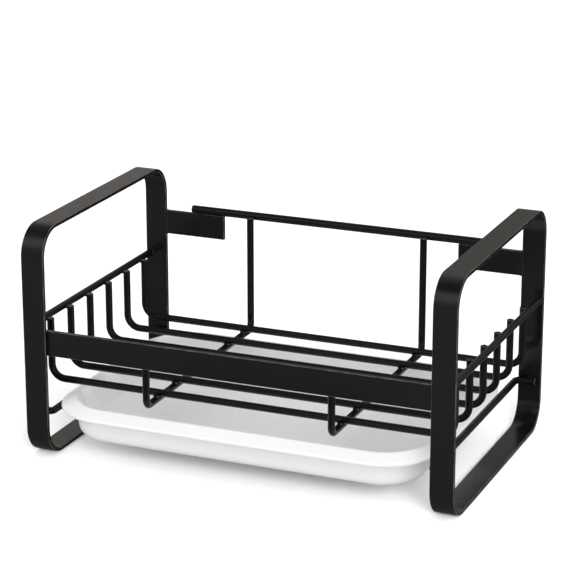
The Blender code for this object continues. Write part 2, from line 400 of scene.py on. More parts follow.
@dataclass(frozen=True)
class PowderCoat(Skin):
    """Satin black powder coat on steel, thinner on the edges, with a dry film on upward faces; the lighter
    upward faces are also a painted sheen and the lighter edges also a painted highlight.
    """

    name: str = "satin_black_powder"
    low_colour: Triple = (0.0036, 0.0036, 0.0035)
    high_colour: Triple = (0.0052, 0.0051, 0.0049)
    patch_size: float = 0.014
    # Lighter colour of upward faces: dry film and a painted sheen.
    film_and_sheen_colour: Triple = (0.030, 0.028, 0.026)
    film_and_sheen_share: float = 0.04
    film_and_sheen_break: float = 0.4
    # Lighter colour of the edges: rubbed thin coat and a painted highlight line.
    edge_wear_and_highlight_colour: Triple = (0.150, 0.140, 0.128)

    def wear(self, layers: Layers, edge: NodeSocket) -> None:
        """Lays the film with its painted sheen, and the rubbed edges with their painted highlight, over the
        colour.

        Args:
            layers: the material in the making.
            edge: the mask of the edges.
        """
        # Paints upward faces lighter, as dry film and as a painted sheen.
        film_sheen_mask = layers.put(UpwardFilmAndSheen, self.patch_size * self.film_and_sheen_break)["Mask"]
        layers.lay(film_sheen_mask, self.film_and_sheen_share, self.film_and_sheen_colour)
        # Paints a lighter highlight line on the edges, over the rubbed wear.
        layers.lay(edge, self.edge_share, self.edge_wear_and_highlight_colour)


@dataclass(frozen=True)
class MouldedWhite(Skin):
    """Satin white moulded plastic with a fine skin and faint wiping marks."""

    name: str = "satin_white_moulding"
    low_colour: Triple = (0.862, 0.862, 0.861)
    high_colour: Triple = (0.880, 0.880, 0.877)
    specular: float = 0.45
    patch_size: float = 0.035
    smooth_roughness: float = 0.30
    rough_roughness: float = 0.34
    grain_size: float = 0.00035
    ripple_size: float = 0.006
    grain_share: float = 0.12
    peel_depth: float = 0.000003
    edge_share: float = 0.4
    edge_break: float = 0.3
    mark_colour: Triple = (0.815, 0.815, 0.811)
    mark_share: float = 0.10
    mark_roughness: float = 0.04
    line_width: float = 0.00025
    line_length: float = 0.030

    def wear(self, layers: Layers, edge: NodeSocket) -> None:
        """Lays the wiping marks and the rubbed edges over the colour, and the marks over the gloss.

        Args:
            layers: the material in the making.
            edge: the mask of the edges.
        """
        marks = layers.put(Hairlines, self.line_width, self.line_length)["Mask"]
        seen = layers.math("MAXIMUM", marks, layers.math("MULTIPLY", edge, self.edge_share))
        layers.lay(seen, self.mark_share, self.mark_colour)
        rougher = layers.math("MULTIPLY", marks, self.mark_roughness)
        layers.roughness = layers.math("ADD", layers.roughness, rougher)


@dataclass(frozen=True)
class PaperFloor(Finish):
    """Matt white paper, dimmer in what bounces off it and darker in what gloss mirrors of it.

    What is mirrored is painted darkest far behind the caddy and under it: painted shade in its reflections,
    with a painted shadow of the caddy.
    """

    name: str = "matt_white_paper"
    low_colour: Triple = (0.93, 0.93, 0.935)
    high_colour: Triple = (0.95, 0.95, 0.95)
    specular: float = 0.0
    patch_size: float = 0.09
    roughness: float = 0.9
    bounce: Triple = (0.58, 0.58, 0.58)
    # What gloss mirrors: dim, with painted shade far behind and a painted shadow under the caddy.
    mirrored: Triple = (0.152, 0.152, 0.152)
    mirrored_painted_far_shade: Triple = (0.035, 0.035, 0.035)
    mirrored_painted_shadow: Triple = (0.022, 0.022, 0.022)
    # Where the painted shade and the painted shadow fall.
    far: Ramp = Ramp(0.10, 0.35)
    under_front: Ramp = Ramp(-0.205, -0.180)
    under_back: Ramp = Ramp(0.10, 0.14, 1.0, 0.0)
    under_left: Ramp = Ramp(-0.100, -0.082)
    under_right: Ramp = Ramp(0.070, 0.088, 1.0, 0.0)
    under_slant: Ramp = Ramp(0.130, 0.155, 1.0, 0.0)
    slant: float = 0.65

    def dress(self, layers: Layers) -> dict[str, object]:
        """Gives the paper its seen, bounced and mirrored colours, with painted shade and a painted shadow in
        the mirrored one.

        Args:
            layers: the material in the making.

        Returns:
            What the shader takes, by name.
        """
        path = layers.add("LightPath").outputs
        spot = layers.add("SeparateXYZ", {0: layers.add("NewGeometry").outputs["Position"]}).outputs
        across, depth = spot["X"], spot["Y"]
        slanted = layers.math("SUBTRACT", across, layers.math("MULTIPLY", depth, self.slant))
        # Mask of the painted shadow that gloss sees under the caddy.
        under = layers.spread(depth, self.under_front)
        edges = ((depth, self.under_back), (across, self.under_left), (across, self.under_right))
        for reading, ramp in (*edges, (slanted, self.under_slant)):
            under = layers.math("MULTIPLY", under, layers.spread(reading, ramp))
        # Paints shade far behind and a shadow under the caddy into what gloss mirrors.
        colour = layers.mix(layers.spread(depth, self.far), self.mirrored, self.mirrored_painted_far_shade)
        colour = layers.mix(under, colour, self.mirrored_painted_shadow)
        colour = layers.mix(path["Is Diffuse Ray"], colour, self.bounce)
        colour = layers.mix(path["Is Camera Ray"], colour, layers.colour)
        return {"Base Color": colour, "Roughness": self.roughness}


# Sections and routes


@dataclass(frozen=True)
class RoundSection:
    """The section of a round wire."""

    radius: float
    sides: int = 28

    def outline(self, inset: float) -> list[Triple]:
        """Draws the circle.

        Args:
            inset: how far it is drawn in.

        Returns:
            Its points as (across, up, edge mark).
        """
        reach = self.radius - inset
        turns = (math.tau * index / self.sides for index in range(self.sides))
        return [(reach * math.cos(turn), reach * math.sin(turn), 0.0) for turn in turns]


@dataclass(frozen=True)
class RoundedSection:
    """A rectangle with round corners, and points on the straights beside each corner.

    The edge mark is 1 where the corners are edges that rub, as on a rolled flat strip, and else 0; on the
    coat it carries rubbed wear and a painted highlight line.
    """

    width: float
    height: float
    radius: float = STRIP_EDGE
    steps: int = 5
    margin: float = 0.00012
    least_radius: float = 0.00003
    edge_mark: float = 1.0

    def points(self, inset: float = 0.0) -> list[tuple[Vector, Vector, float]]:
        """Draws the rectangle counter-clockwise.

        Args:
            inset: how far it is drawn in.

        Returns:
            Each point's place, its outward unit vector and how far round its corner it is, from 0 to 1.
        """
        radius = max(self.radius - inset, self.least_radius)
        half_u, half_v = self.width / 2 - inset - radius, self.height / 2 - inset - radius
        points = []
        for quarter, (sign_u, sign_v) in enumerate(((1, 1), (-1, 1), (-1, -1), (1, -1))):
            turns = [QUARTER * (quarter + step / self.steps) for step in range(self.steps + 1)]
            arms = [Vector((math.cos(turn), math.sin(turn))) for turn in turns]
            centre = Vector((sign_u * half_u, sign_v * half_v))
            points.append((centre + arms[0] * radius - arms[-1] * self.margin, arms[0], 0.0))
            points += [(centre + arm * radius, arm, step / self.steps) for step, arm in enumerate(arms)]
            points.append((centre + arms[-1] * radius - arms[0] * self.margin, arms[-1], 1.0))
        return points

    def outline(self, inset: float) -> list[Triple]:
        """Returns the points, drawn in by an inset, as (across, up, edge mark)."""
        return [(at.x, at.y, self.edge_mark * math.sin(math.pi * share)) for at, _, share in self.points(inset)]


@dataclass(frozen=True)
class Station:
    """One place along a sweep, with the section's two axes there."""

    place: Vector
    across: Vector
    up: Vector
    inset: float = 0.0
    edge: float = 0.0

    def cut_end(self, inward: Vector, radius: float, steps: int = 4) -> list["Station"]:
        """Rounds the edge of a cut end in the plane of this station.

        Args:
            inward: the unit vector from the cut into the piece.
            radius: the radius of the rounded edge.
            steps: the number of steps round it.

        Returns:
            The stations from the flat of the cut inwards.
        """
        flat, margin = 0.00012, 0.00015
        stations = [Station(self.place, self.across, self.up, radius + flat)]
        for step in range(steps + 1):
            turn = QUARTER * step / steps
            place = self.place + inward * radius * (1 - math.cos(turn))
            inset, edge = radius * (1 - math.sin(turn)), math.sin(2 * turn)
            stations.append(Station(place, self.across, self.up, inset, edge))
        return stations + [Station(self.place + inward * (radius + margin), self.across, self.up)]


def bent_route(corners: Sequence[Vector], radius: float, steps: int, margin: float) -> Route:
    """Rounds the corners of a route.

    Args:
        corners: the route's sharp corners, with its two ends.
        radius: the bend radius of the centreline.
        steps: the number of steps in a bend.
        margin: how far before and after a bend a straight place is kept.

    Returns:
        The places along the route with the direction of travel at each.
    """
    route = [(corners[0], (corners[1] - corners[0]).normalized())]
    for before, corner, after in zip(corners, corners[1:], corners[2:]):
        inward, outward = (corner - before).normalized(), (after - corner).normalized()
        turn = inward.angle(outward)
        setback = radius * math.tan(turn / 2)
        side = inward.cross(outward).normalized().cross(inward)
        centre = corner - inward * setback + side * radius
        route.append((corner - inward * (setback + margin), inward))
        for step in range(steps + 1):
            angle = turn * step / steps
            arm = inward * math.sin(angle) - side * math.cos(angle)
            route.append((centre + arm * radius, inward * math.cos(angle) + side * math.sin(angle)))
        route.append((corner + outward * (setback + margin), outward))
    return route + [(corners[-1], (corners[-1] - corners[-2]).normalized())]


# Pieces


@dataclass(frozen=True)
class Box:
    """A box along the axes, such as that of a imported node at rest."""

    low: Vector
    high: Vector

    @classmethod
    def of(cls, node: str) -> "Box":
        """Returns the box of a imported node."""
        return cls(*(Vector(corner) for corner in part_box(node)))

    @property
    def middle(self) -> Vector:
        """Returns the middle of the box."""
        return (self.low + self.high) / 2

    @property
    def size(self) -> Vector:
        """Returns the lengths of the box's sides."""
        return self.high - self.low

    def outer(self, side: Side) -> float:
        """Returns the X of the face away from the caddy's middle."""
        return self.high.x if side is Side.RIGHT else self.low.x

    def inner(self, side: Side) -> float:
        """Returns the X of the face towards the caddy's middle."""
        return self.low.x if side is Side.RIGHT else self.high.x

    def centreline(self, axis: int) -> list[Vector]:
        """Finds the box's middle line along an axis.

        Args:
            axis: the axis, 0 for X and 1 for Y.

        Returns:
            The line's lower and upper end.
        """
        ends = [self.middle, self.middle]
        ends[0][axis], ends[1][axis] = self.low[axis], self.high[axis]
        return ends


@dataclass
class SubAssembly:
    """What every sub-assembly has: its finish, its body and slot, and the mesh that it works on."""

    material: Material
    body: Body = Body.FRAME
    slot: Slot = Slot.BLACK_COAT

    def __post_init__(self) -> None:
        """Starts the first mesh."""
        self.start_mesh()

    def start_mesh(self) -> None:
        """Starts a mesh, with a layer that says how near to a marked edge each vertex is, where the finishes
        lay rubbed wear and, on the coat, a painted highlight.
        """
        self.bm = bmesh.new()
        self.layer = self.bm.verts.layers.float.new(EDGE_LAYER)

    def skin(self, rings: Rings, joined: bool = False, flat: bool = True) -> list[list[BMVert]]:
        """Adds a skin of quads over rings of points.

        Args:
            rings: closed rings with as many points each.
            joined: whether the last ring is joined to the first.
            flat: whether a flat face closes each end that isn't joined.

        Returns:
            The rings of vertices.
        """
        loops = [[self.bm.verts.new(place) for place in ring] for ring in rings]
        for loop, following in zip(loops, loops[1:] + loops[:1] if joined else loops[1:]):
            for index, vert in enumerate(loop):
                after = (index + 1) % len(loop)
                self.bm.faces.new((vert, loop[after], following[after], following[index]))
        if flat and not joined:
            self.bm.faces.new(loops[0][::-1])
            self.bm.faces.new(loops[-1])
        return loops

    def sweep(
        self, section: RoundSection | RoundedSection, stations: Sequence[Station], joined: bool = False
    ) -> None:
        """Adds a section swept through stations.

        Args:
            section: the cross-section.
            stations: the places that it passes.
            joined: whether it comes round to its start.
        """
        rings, edges = [], []
        for at in stations:
            outline = section.outline(at.inset)
            rings.append([at.place + at.across * across + at.up * up for across, up, _ in outline])
            edges.append([max(edge, at.edge) for _, _, edge in outline])
        for loop, ring_edges in zip(self.skin(rings, joined), edges):
            for vert, edge in zip(loop, ring_edges):
                vert[self.layer] = edge

    def bar(self, box: Box, section: RoundedSection, end: float = STRIP_EDGE, steps: int = 4) -> None:
        """Adds a straight bar along X that fills a box.

        Args:
            box: the box.
            section: the bar's section.
            end: the radius of the edges of its cut ends.
            steps: the number of steps round those.
        """
        first, last = (Station(place, Z_AXIS, Y_AXIS) for place in box.centreline(0))
        tail = last.cut_end(-X_AXIS, end, steps)
        self.sweep(section, first.cut_end(X_AXIS, end, steps) + tail[::-1])

    def mount(self, name: str, node: str | None = None) -> Object:
        """Turns the mesh into a piece on the sub-assembly's body, and starts the next mesh.

        Args:
            name: the piece's name.
            node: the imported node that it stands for, if any.

        Returns:
            The piece, with its origin in its middle.
        """
        bmesh.ops.recalc_face_normals(self.bm, faces=self.bm.faces)
        for face in self.bm.faces:
            face.smooth = True
        mesh = bpy.data.meshes.new(name)
        self.bm.to_mesh(mesh)
        self.bm.free()
        self.start_mesh()
        axes = list(zip(*(vert.co for vert in mesh.vertices)))
        middle = Box(Vector([min(axis) for axis in axes]), Vector([max(axis) for axis in axes])).middle
        mesh.transform(Matrix.Translation(-middle))
        mesh.materials.append(self.material)
        piece = bpy.data.objects.new(name, mesh)
        piece.location = middle
        bpy.context.scene.collection.objects.link(piece)
        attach(piece, self.body.value)
        if node:
            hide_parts(node)
        return piece


@dataclass
class StripLoops(SubAssembly):
    """The two end loops: one flat strip each, bent round into foot, legs and handle."""

    bend_radius: float = 0.015
    thickness: float = 0.002
    bend_steps: int = 22
    bend_margin: float = 0.0012

    def build(self) -> Iterator[Object]:
        """Builds both loops, swept along the middle of the strip's thickness.

        Yields:
            The pieces.
        """
        for side in Side:
            box = Box.of(side.named("loop"))
            sizes = (box.size.y - self.thickness, box.size.z - self.thickness)
            bend = (self.bend_radius - self.thickness / 2, self.bend_steps, self.bend_margin)
            stations = [
                Station(box.middle + Vector((0, *at)), X_AXIS, Vector((0, *arm)))
                for at, arm, _ in RoundedSection(*sizes, *bend).points()
            ]
            self.sweep(RoundedSection(box.size.x, self.thickness), stations, joined=True)
            yield self.mount(side.named("strip_loop"), side.named("loop"))


@dataclass
class FlatRails(SubAssembly):
    """The straight strips: the long front rail and the two tabs at the back."""

    def build(self) -> Iterator[Object]:
        """Builds the rail and the tabs.

        Yields:
            The pieces.
        """
        names = {"front_rail": "front_flat_rail"}
        names |= {side.named("back_tab"): side.named("flat_tab") for side in Side}
        for node, name in names.items():
            box = Box.of(node)
            self.bar(box, RoundedSection(box.size.z, box.size.y))
            yield self.mount(name, node)


@dataclass
class Wirework(SubAssembly):
    """All round wires: back rod, side wires, basket floor, hangers and tray carriers."""

    long_bend: float = 0.007
    hanger_bend: float = 0.0036
    carrier_bend: float = 0.0026
    tip_radius: float = 0.00035
    bend_steps: int = 14
    bend_margin: float = 0.0005
    hanger_below_rail: float = 0.003

    def wire(self, corners: Sequence[Vector], radius: float, bend: float = 0.0) -> None:
        """Adds one wire.

        Args:
            corners: the corners of its centreline, with its two ends.
            radius: the wire's radius.
            bend: the radius of its bends.
        """
        route = bent_route(corners, bend, self.bend_steps, self.bend_margin)
        start = heading = route[0][1]
        across = heading.orthogonal().normalized()
        stations = []
        for place, direction in route:
            across = heading.rotation_difference(direction) @ across
            heading = direction
            stations.append(Station(place, across, direction.cross(across)))
        head = stations[0].cut_end(start, self.tip_radius)
        tail = stations[-1].cut_end(-heading, self.tip_radius)
        self.sweep(RoundSection(radius), head + stations[1:-1] + tail[::-1])

    def hanger(self, box: Box, radius: float) -> None:
        """Adds a hanger: from behind the front rail, under the floor and up to the back rod.

        Args:
            box: its node's box.
            radius: the wire's radius.
        """
        top, floor = Box.of("front_rail").high.z - self.hanger_below_rail, box.low.z + radius
        front, back = box.low.y + radius, box.high.y - radius
        turns = ((front, top), (front, floor), (back, floor), (back, box.high.z))
        self.wire([Vector((box.middle.x, *turn)) for turn in turns], radius, self.hanger_bend)

    def carrier(self, box: Box, side: Side, radius: float) -> None:
        """Adds a tray carrier: from a leg, along under the tray's lip and to the other leg.

        Args:
            box: its node's box.
            side: its side.
            radius: the wire's radius.
        """
        outer, inner = box.outer(side), box.inner(side) + side.value * radius
        front, back = box.low.y + radius, box.high.y - radius
        turns = ((outer, front), (inner, front), (inner, back), (outer, back))
        self.wire([Vector((*turn, box.middle.z)) for turn in turns], radius, self.carrier_bend)

    def build(self) -> Iterator[Object]:
        """Builds every wire.

        Yields:
            The pieces.
        """
        rod = Box.of("back_rod")
        self.wire(rod.centreline(0), rod.size.z / 2)
        yield self.mount("back_round_rod", "back_rod")
        radius = Box.of("right_side_wire").size.z / 2
        for side in Side:
            self.wire(Box.of(side.named("side_wire")).centreline(1), radius)
            yield self.mount(side.named("rim_wire"), side.named("side_wire"))
        for index, node in enumerate(LONG_WIRES, 1):
            box = Box.of(node)
            left, right, floor, top = box.low.x + radius, box.high.x - radius, box.low.z + radius, box.high.z
            turns = ((left, top), (left, floor), (right, floor), (right, top))
            self.wire([Vector((x, box.middle.y, z)) for x, z in turns], radius, self.long_bend)
            yield self.mount(f"floor_wire_{index}", node)
        for side in Side:
            self.hanger(Box.of(side.named("cross_wire")), radius)
            yield self.mount(side.named("hanger_wire"), side.named("cross_wire"))
            self.carrier(Box.of(side.named("tray_rod")), side, radius)
            yield self.mount(side.named("tray_carrier"), side.named("tray_rod"))


# Welds


class WireAt(NamedTuple):
    """A wire where it is welded: a point of its centreline, its unit direction and its radius."""

    centre: Vector
    along: Vector
    radius: float


@dataclass
class Welds(SubAssembly):
    """The weld metal between strips and wires, coated over with them.

    Every weld fills the narrow gap between the two pieces that it joins and ends on their surfaces.
    """

    seed: int = 11
    wave_orders: tuple[int, ...] = (1, 2, 3, 5)
    wave_weights: Pair = (0.3, 1.0)
    sunk: float = 0.00012
    walls: int = 5
    sides: int = 32
    collar_height: float = 0.00125
    collar_reach: float = 0.0026
    collar_stride: float = 0.00002
    collar_grip: float = 0.985
    collar_waist: float = 0.22
    collar_wobble: float = 0.07
    tip_margin: float = 0.0003
    butt_leg: float = 0.0009
    butt_curve: float = 0.85
    butt_wobble: float = 0.22
    butt_edge: float = 0.0002
    lap_leg: float = 0.0007
    lap_steps: int = 14
    lap_ends: Pair = (0.02, 0.98)
    lap_taper: float = 0.35
    lap_grips: Pair = (math.radians(62), math.radians(74))
    lap_waist: float = 0.14
    lap_wobble: float = 0.16
    hanger_run: Pair = (0.0012, 0.0042)
    carrier_run: Pair = (0.0048, 0.0004)
    rod_run: Pair = (0.0015, 0.0012)
    rod_foot_half: float = 0.0006
    rod_foot_set: float = 0.0002
    pad_margin: float = 0.0005
    pad_side: float = 0.0006
    pad_edge: float = 0.0003
    pad_flat: float = 0.00005
    pad_end: float = 0.0001
    bead_half: float = 0.0007
    bead_proud: float = 0.00012

    def __post_init__(self) -> None:
        """Starts the first mesh, the side and the seeded unevenness of the weld metal."""
        super().__post_init__()
        self.side = Side.LEFT
        self.draw = random.Random(self.seed).uniform

    def box(self, rest: str) -> Box:
        """Returns the box of the node with this name on the side that is welded."""
        return Box.of(self.side.named(rest))

    def wobble(self, share: float) -> Callable[[float], float]:
        """Draws a smooth periodic factor round a weld that stays near 1.

        Args:
            share: the largest departure from 1.

        Returns:
            A function of the angle.
        """
        waves = [(order, self.draw(0, math.tau), self.draw(*self.wave_weights)) for order in self.wave_orders]
        total = sum(weight for _, _, weight in waves)

        def factor(angle: float) -> float:
            """Returns the factor at an angle."""
            return 1 + share * sum(w * math.sin(order * angle + phase) for order, phase, w in waves) / total

        return factor

    def crossing(self, lower: WireAt, upper: WireAt, ceiling: float = math.inf) -> None:
        """Adds a collar between two wires that cross at a right angle.

        Args:
            lower: one wire.
            upper: the other wire.
            ceiling: the height that the metal stays under.
        """
        axis = (upper.centre - lower.centre).normalized()
        spacing = (upper.centre - lower.centre).length
        factor = self.wobble(self.collar_wobble)
        rings: Rings = [[] for _ in range(self.walls + 1)]
        for index in range(self.sides):
            angle = math.tau * index / self.sides
            out = lower.along * math.cos(angle) + upper.along * math.sin(angle)
            reach = sag_low = sag_high = 0.0
            while reach < self.collar_reach:
                step = reach + self.collar_stride
                off_low, off_high = step * abs(math.sin(angle)), step * abs(math.cos(angle))
                if off_low >= lower.radius * self.collar_grip or off_high >= upper.radius * self.collar_grip:
                    break
                new_low = math.sqrt(lower.radius**2 - off_low**2)
                new_high = math.sqrt(upper.radius**2 - off_high**2)
                high_enough = (lower.centre + axis * new_low + out * step).z >= ceiling
                if high_enough or spacing - new_low - new_high > self.collar_height * factor(angle):
                    break
                reach, sag_low, sag_high = step, new_low, new_high
            low = lower.centre + axis * (sag_low - self.sunk)
            high = upper.centre - axis * (sag_high - self.sunk)
            for step, ring in enumerate(rings):
                share = step / self.walls
                pull = self.collar_waist * self.collar_height * math.sin(math.pi * share)
                ring.append(low.lerp(high, share) + out * (reach - pull))
        loops = self.skin(rings, flat=False)
        for loop, wire in ((loops[0], lower), (loops[-1], upper)):
            hub = self.bm.verts.new(wire.centre)
            for index, vert in enumerate(loop):
                self.bm.faces.new((vert, loop[(index + 1) % len(loop)], hub))

    def butt(self, face: Vector, normal: Vector, radius: float, reach_x: Pair) -> None:
        """Adds a fillet round a wire's end that stands on a flat face.

        Args:
            face: where the wire's axis meets the face.
            normal: the unit normal of the face, along the wire.
            radius: the wire's radius.
            reach_x: the lowest and highest X that the metal may reach.
        """
        first = normal.orthogonal().normalized()
        second = normal.cross(first)
        factor = self.wobble(self.butt_wobble)
        rings: Rings = [[] for _ in range(self.walls + 2)]
        for index in range(self.sides):
            angle = math.tau * index / self.sides
            out = first * math.cos(angle) + second * math.sin(angle)
            leg = self.butt_leg * factor(angle)
            for step in range(self.walls + 1):
                turn = QUARTER * step / self.walls
                away = radius - self.sunk + leg * (1 - math.sin(turn)) ** self.butt_curve
                rise = leg * (1 - math.cos(turn)) ** self.butt_curve - self.sunk * (step == 0)
                place = face + out * away + normal * rise
                place.x = min(max(place.x, reach_x[0]), reach_x[1])
                rings[step].append(place)
            rings[-1].append(face + out * (radius - 3 * self.sunk) + normal * leg)
        self.skin(rings)

    def lap(
        self, run: Sequence[Vector], normal: Vector, radius: float, gap: float, foot: float, lean: float = 0.0
    ) -> None:
        """Adds weld metal on both sides of a wire that lies along a flat face.

        Args:
            run: the points of the wire's centreline where the metal begins and stops.
            normal: the unit vector from the face to the wire.
            radius: the wire's radius.
            gap: the distance from the centreline to the face.
            foot: half of the metal's width on the face.
            lean: how far towards +Y the metal's foot stands off the wire's middle.
        """
        along = (run[1] - run[0]).normalized()
        side = normal.cross(along)
        length = (run[1] - run[0]).length
        factor = self.wobble(self.lap_wobble)
        hold = radius - self.sunk
        rings = []
        for index in range(self.lap_steps + 1):
            share = index / self.lap_steps
            clear = min(max(share, self.lap_ends[0]), self.lap_ends[1])
            swell = math.sin(math.pi * clear) ** self.lap_taper * factor(share * math.tau)
            grip = min(self.lap_grips[0] * swell, self.lap_grips[1])
            centre = run[0] + along * length * share
            ring = []
            for sign in (1, -1):
                top = Vector((sign * hold * math.sin(grip), -hold * math.cos(grip)))
                low = Vector((sign * foot * swell + lean * side.y, -gap - self.sunk))
                wall = []
                for step in range(self.walls + 1):
                    at = low.lerp(top, step / self.walls)
                    at.x -= sign * self.lap_waist * radius * math.sin(math.pi * step / self.walls) * swell
                    wall.append(centre + side * at.x + normal * at.y)
                ring += wall[::sign]
            rings.append(ring)
        self.skin(rings)

    def pad(self, low: Triple, high: Triple) -> None:
        """Adds a thin pad of metal with rounded edges between two strips.

        Args:
            low: the pad's lowest corner.
            high: its highest corner.
        """
        box = Box(Vector(low), Vector(high))
        edge = min(box.size.y / 2 - self.pad_flat, self.pad_edge)
        self.bar(box, RoundedSection(box.size.z, box.size.y, edge, steps=3), self.pad_end, steps=2)

    def tips(self) -> None:
        """Welds the floor wires' tips to a side wire."""
        rim = self.box("side_wire")
        radius, level = rim.size.z / 2, rim.middle.z
        for box in map(Box.of, LONG_WIRES):
            x, y = box.outer(self.side) - self.side.value * radius, box.middle.y
            tip = WireAt(Vector((x, y, level)), Z_AXIS, radius)
            carrier = WireAt(Vector((rim.middle.x, y, level)), Y_AXIS, radius)
            self.crossing(tip, carrier, box.high.z - self.tip_margin)

    def floor(self) -> None:
        """Welds a hanger to the floor wires above it."""
        hanger = self.box("cross_wire")
        for box in map(Box.of, LONG_WIRES):
            x, y, radius = hanger.middle.x, box.middle.y, box.size.y / 2
            lower = WireAt(Vector((x, y, hanger.low.z + radius)), Y_AXIS, radius)
            self.crossing(lower, WireAt(Vector((x, y, box.low.z + radius)), X_AXIS, radius))

    def hanger_top(self) -> None:
        """Welds a hanger to the back of the front rail and to the back rod."""
        rail, rod, hanger = Box.of("front_rail"), Box.of("back_rod"), self.box("cross_wire")
        radius, x, level = hanger.size.x / 2, hanger.middle.x, rod.middle.z
        front, back = hanger.low.y + radius, hanger.high.y - radius
        heights = (rail.low.z + self.hanger_run[0], rail.high.z - self.hanger_run[1])
        run = [Vector((x, front, z)) for z in heights]
        self.lap(run, Y_AXIS, radius, front - rail.high.y, radius + self.lap_leg)
        upright = WireAt(Vector((x, back, level)), Z_AXIS, radius)
        carrier = WireAt(Vector((x, rod.middle.y, level)), X_AXIS, rod.size.z / 2)
        self.crossing(upright, carrier, hanger.high.z - self.tip_margin)

    def rim_ends(self) -> None:
        """Welds a side wire's ends to its loop's legs."""
        wire, loop = self.box("side_wire"), self.box("loop")
        reach_x = (loop.low.x + self.butt_edge, loop.high.x - self.butt_edge)
        for y, normal in ((wire.low.y - WELD_GAP, Y_AXIS), (wire.high.y + WELD_GAP, -Y_AXIS)):
            self.butt(Vector((wire.middle.x, y, wire.middle.z)), normal, wire.size.z / 2, reach_x)

    def carrier_ends(self) -> None:
        """Welds a tray carrier's turned ends to its loop's legs."""
        rod = self.box("tray_rod")
        radius, outer = rod.size.z / 2, rod.outer(self.side)
        for y, normal in ((rod.low.y + radius, Y_AXIS), (rod.high.y - radius, -Y_AXIS)):
            run = [Vector((outer - self.side.value * back, y, rod.middle.z)) for back in self.carrier_run]
            self.lap(run, normal, radius, radius + WELD_GAP, radius + self.lap_leg)

    def rail_lap(self) -> None:
        """Fills the lap between a front leg and the rail behind it."""
        bar, loop, margin = Box.of("front_rail"), self.box("loop"), self.pad_margin
        low_x = max(bar.low.x - margin, loop.low.x + self.pad_side)
        high_x = min(bar.high.x + margin, loop.high.x - self.pad_side)
        low = (low_x, bar.low.y - WELD_GAP - self.sunk, bar.low.z - margin)
        self.pad(low, (high_x, bar.low.y + WELD_GAP / 2, bar.high.z + margin))

    def tab_butt(self) -> None:
        """Adds the ground butt weld between a tab's end and the side of the back leg."""
        tab, proud = self.box("back_tab"), self.bead_proud
        joint = tab.outer(self.side) + self.side.value * WELD_GAP / 2
        low = (joint - self.bead_half, tab.low.y - proud, tab.low.z - proud)
        self.pad(low, (joint + self.bead_half, tab.high.y, tab.high.z + proud))

    def rod_seat(self) -> None:
        """Welds the back rod to a tab's top edge."""
        rod, tab = Box.of("back_rod"), self.box("back_tab")
        inner = tab.inner(self.side) + self.side.value * self.rod_run[0]
        outer = rod.outer(self.side) - self.side.value * self.rod_run[1]
        run = [Vector((x, rod.middle.y, rod.middle.z)) for x in (inner, outer)]
        lean = tab.middle.y - self.rod_foot_set - rod.middle.y
        self.lap(run, Z_AXIS, rod.size.z / 2, rod.middle.z - tab.high.z, self.rod_foot_half, lean)

    def build(self) -> Iterator[Object]:
        """Builds every weld.

        Yields:
            The pieces.
        """
        for side in Side:
            self.side = side
            for name, weld in (("tip_welds", self.tips), ("floor_welds", self.floor)):
                weld()
                yield self.mount(side.named(name))
        sites = {"hanger_top_welds": self.hanger_top, "rim_wire_end_welds": self.rim_ends}
        sites |= {"carrier_end_welds": self.carrier_ends, "rail_lap_welds": self.rail_lap}
        sites |= {"tab_butt_welds": self.tab_butt, "rod_seat_welds": self.rod_seat}
        for name, weld in sites.items():
            for side in Side:
                self.side = side
                weld()
            yield self.mount(name)


# Drip tray


